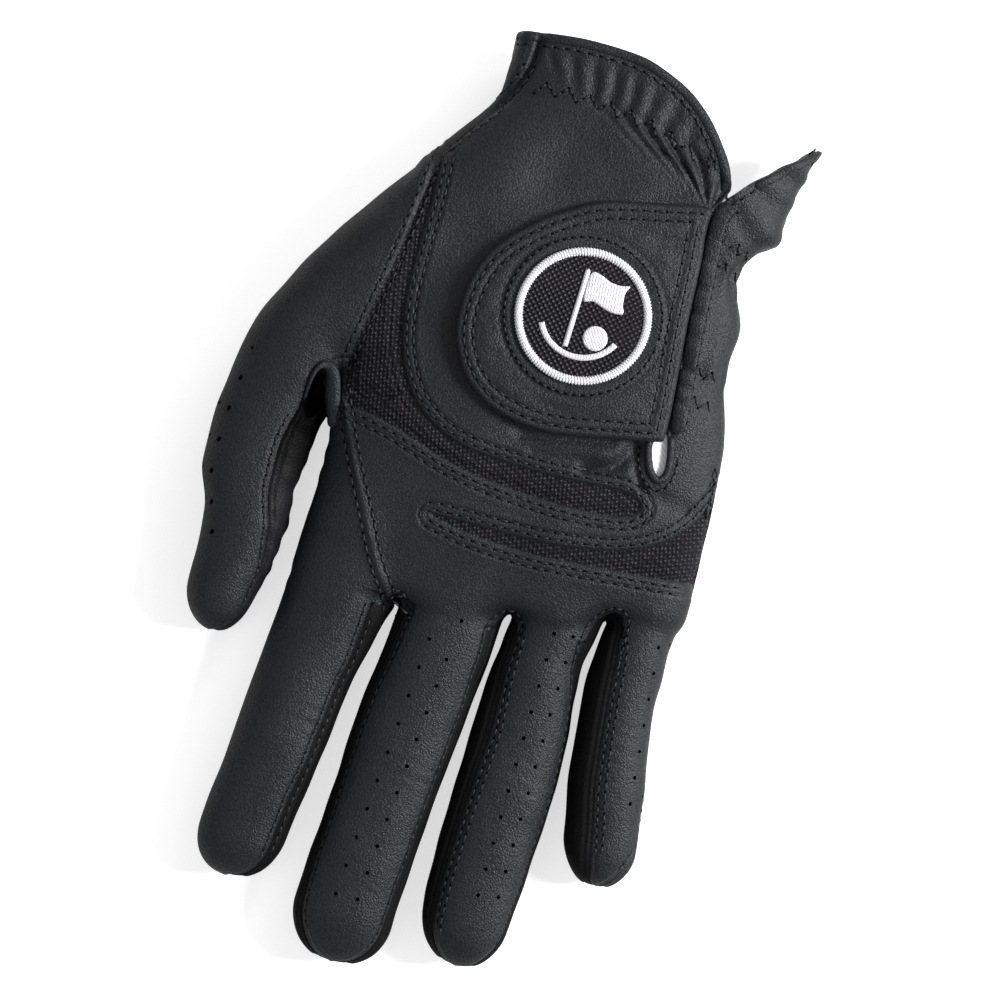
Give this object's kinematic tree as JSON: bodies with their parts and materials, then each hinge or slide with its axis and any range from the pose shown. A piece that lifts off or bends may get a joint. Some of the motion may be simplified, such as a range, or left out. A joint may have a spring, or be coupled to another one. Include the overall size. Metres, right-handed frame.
{
  "type": "golf glove",
  "caption": "Left-hand golf glove in dark leather with mesh darts over the knuckles, a rounded closure tab with a round badge, and bending finger stalls.",
  "frame": {"origin": "middle of the palm, on the plane the glove rests on palm down", "axes": "+Z out of the back of the hand, -Y towards the fingertips along the middle finger, +Y towards the cuff, -X towards the thumb"},
  "size_m": [0.1298, 0.2299, 0.0299],
  "materials": {
    "glove_leather": "fine pebbled grain, soft satin sheen",
    "knit_mesh": "open warp-knit mesh, matt",
    "trim_leather": "smooth folded leather, satin",
    "lining_fabric": "brushed tricot lining, matt",
    "hook_and_loop": "hook and loop pile, matt",
    "elastic_tape": "ribbed woven elastic, matt",
    "badge_cloth": "coarse twill weave, matt",
    "badge_thread": "dense satin-stitch thread, slight sheen",
    "label_satin": "plain satin label, blank"
  },
  "bodies": {
    "hand": {"palm_panel": "glove_leather", "back_panel": "glove_leather", "knuckle_panel": "glove_leather", "finger_root_panel": "glove_leather", "ulnar_panel": "glove_leather", "thumb_mesh_insert": "knit_mesh", "knuckle_mesh_insert": "knit_mesh", "thumb_root_outer": "glove_leather", "thumb_root_inner": "glove_leather", "thumb_quirk": "glove_leather", "crotch_gussets": "trim_leather", "loop_pad": "hook_and_loop", "dorsal_elastic": "elastic_tape", "palm_elastic": "elastic_tape", "cuff_binding": "trim_leather", "palm_binding": "trim_leather", "slit_binding": "trim_leather", "size_label": "label_satin"},
    "flap": {"flap_panel": "glove_leather", "flap_binding": "trim_leather"},
    "tab": {"tab_outer": "glove_leather", "tab_lining": "lining_fabric", "hook_pad": "hook_and_loop", "badge_ground": "badge_cloth", "badge_rim": "badge_thread", "badge_emblem": "badge_thread"},
    "index_base": {"index_back_base": "glove_leather", "index_palm_base": "glove_leather", "index_gussets_base": "trim_leather"},
    "index_tip": {"index_back_tip": "glove_leather", "index_palm_tip": "glove_leather", "index_gussets_tip": "trim_leather"},
    "middle_base": {"middle_back_base": "glove_leather", "middle_palm_base": "glove_leather", "middle_gussets_base": "trim_leather"},
    "middle_tip": {"middle_back_tip": "glove_leather", "middle_palm_tip": "glove_leather", "middle_gussets_tip": "trim_leather"},
    "ring_base": {"ring_back_base": "glove_leather", "ring_palm_base": "glove_leather", "ring_gussets_base": "trim_leather"},
    "ring_tip": {"ring_back_tip": "glove_leather", "ring_palm_tip": "glove_leather", "ring_gussets_tip": "trim_leather"},
    "little_base": {"little_back_base": "glove_leather", "little_palm_base": "glove_leather", "little_gussets_base": "trim_leather"},
    "little_tip": {"little_back_tip": "glove_leather", "little_palm_tip": "glove_leather", "little_gussets_tip": "trim_leather"},
    "thumb_base": {"thumb_outer_base": "glove_leather", "thumb_inner_base": "glove_leather"},
    "thumb_tip": {"thumb_outer_tip": "glove_leather", "thumb_inner_tip": "glove_leather"}
  },
  "joints": [
    {"name": "index_knuckle", "type": "hinge", "parent": "hand", "child": "index_base", "pos_m": [-0.0332, -0.051, 0], "axis": [1, 0, 0], "range_deg": [0, 80]},
    {"name": "index_bend", "type": "hinge", "parent": "index_base", "child": "index_tip", "pos_m": [-0.03545, -0.08166, 0], "axis": [1, 0, 0], "range_deg": [0, 90]},
    {"name": "middle_knuckle", "type": "hinge", "parent": "hand", "child": "middle_base", "pos_m": [-0.0064, -0.051, 0], "axis": [1, 0, 0], "range_deg": [0, 80]},
    {"name": "middle_bend", "type": "hinge", "parent": "middle_base", "child": "middle_tip", "pos_m": [-0.00754, -0.08712, 0], "axis": [1, 0, 0], "range_deg": [0, 90]},
    {"name": "ring_knuckle", "type": "hinge", "parent": "hand", "child": "ring_base", "pos_m": [0.0192, -0.0485, 0], "axis": [1, 0, 0], "range_deg": [0, 80]},
    {"name": "ring_bend", "type": "hinge", "parent": "ring_base", "child": "ring_tip", "pos_m": [0.01968, -0.08252, 0], "axis": [1, 0, 0], "range_deg": [0, 90]},
    {"name": "little_knuckle", "type": "hinge", "parent": "hand", "child": "little_base", "pos_m": [0.0404, -0.0415, 0], "axis": [1, 0, 0], "range_deg": [0, 80]},
    {"name": "little_bend", "type": "hinge", "parent": "little_base", "child": "little_tip", "pos_m": [0.04376, -0.0667, 0], "axis": [1, 0, 0], "range_deg": [0, 90]},
    {"name": "thumb_knuckle", "type": "hinge", "parent": "hand", "child": "thumb_base", "pos_m": [-0.0615, -0.002, 0], "axis": [1, 0, 0], "range_deg": [0, 50]},
    {"name": "thumb_bend", "type": "hinge", "parent": "thumb_base", "child": "thumb_tip", "pos_m": [-0.0612, -0.0241, 0], "axis": [1, 0, 0], "range_deg": [0, 75]},
    {"name": "flap_fold", "type": "hinge", "parent": "hand", "child": "flap", "pos_m": [0.0359, 0.039, 0.0223], "axis": [0.0608, 0.9975, -0.0365], "range_deg": [0, 35]},
    {"name": "tab_hinge", "type": "hinge", "parent": "flap", "child": "tab", "pos_m": [0.0306, 0.0355, 0.0259], "axis": [-0.0654, 0.9973, -0.0343], "range_deg": [0, 160]}
  ]
}
